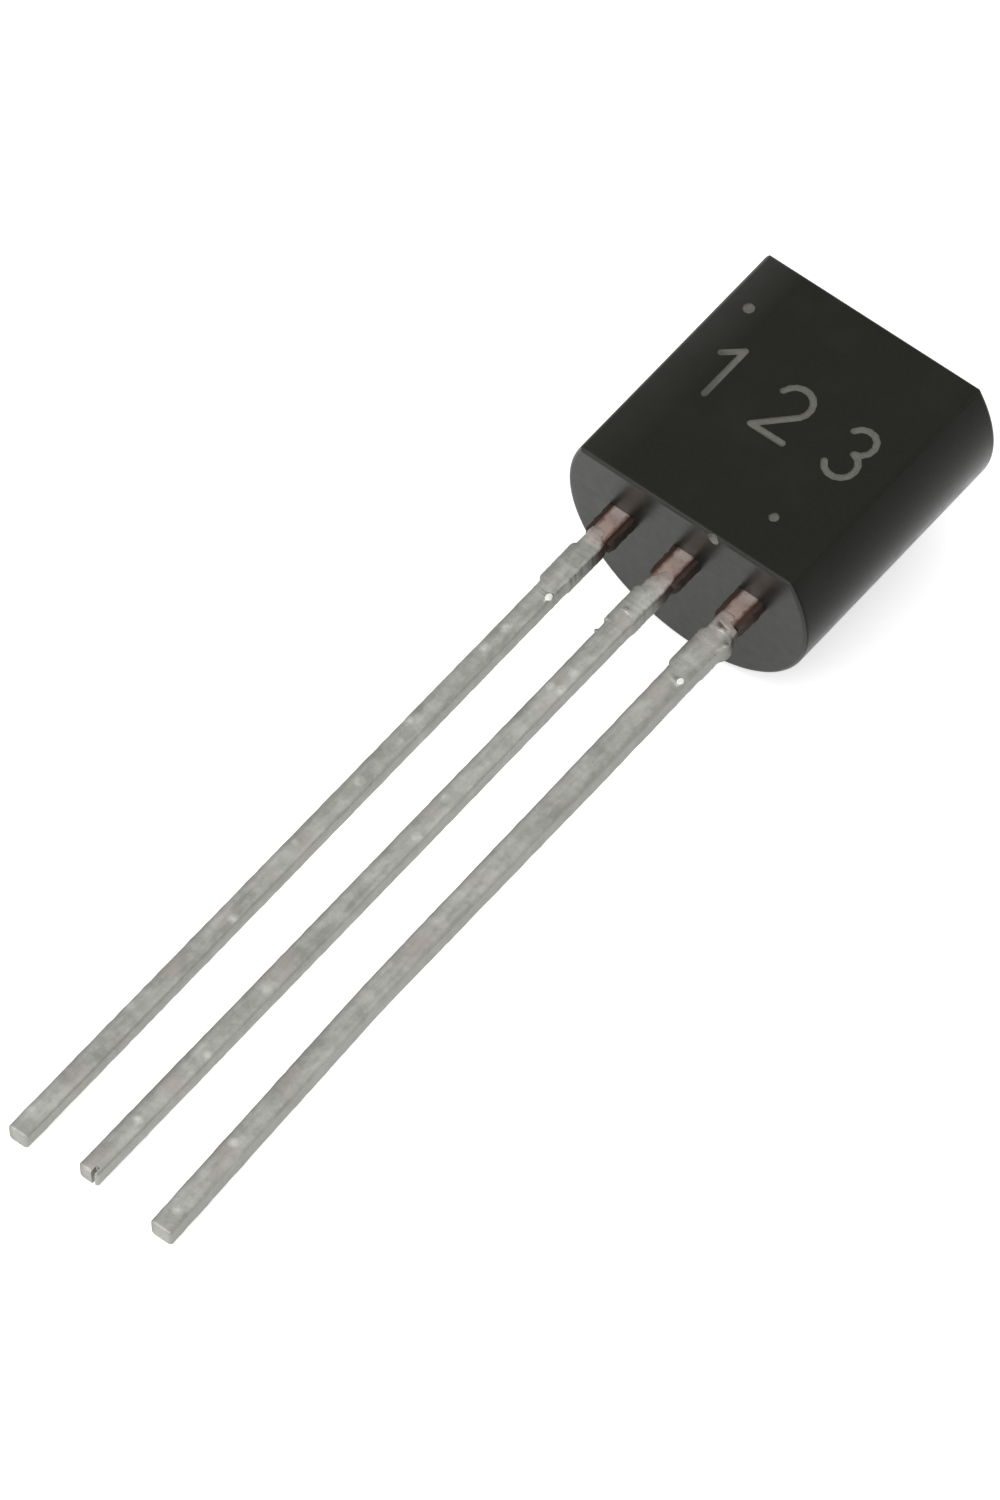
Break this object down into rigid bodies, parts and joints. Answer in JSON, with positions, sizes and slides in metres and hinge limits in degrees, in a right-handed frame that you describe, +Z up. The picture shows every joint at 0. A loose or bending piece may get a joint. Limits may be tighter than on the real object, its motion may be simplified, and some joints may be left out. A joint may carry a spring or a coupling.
{
  "type": "to-92 transistor",
  "caption": "Small-signal transistor: a moulded D-shaped epoxy body with a flat face, round back and straight solder-coated leads in a row, for through-hole boards.",
  "frame": {"origin": "middle of the footprint's bounding box, on the surface that the part lies on", "axes": "+X across the leads from collector to emitter, +Y from the lead tips towards the top of the body, +Z up from the surface, about 9 degrees off the flat face's normal"},
  "size_m": [0.0048, 0.0192, 0.0041],
  "materials": {
    "epoxy": "satin",
    "copper": "satin",
    "solder": "satin",
    "silicon": "gloss",
    "die_bond": "matte",
    "gold": "gloss"
  },
  "bodies": {
    "root": {"body": "epoxy", "collector_lead": "copper", "base_lead": "copper", "emitter_lead": "copper", "collector_tin": "solder", "base_tin": "solder", "emitter_tin": "solder", "silicon_die": "silicon", "die_attach": "die_bond", "base_bond_wire": "gold", "emitter_bond_wire": "gold"}
  },
  "joints": []
}
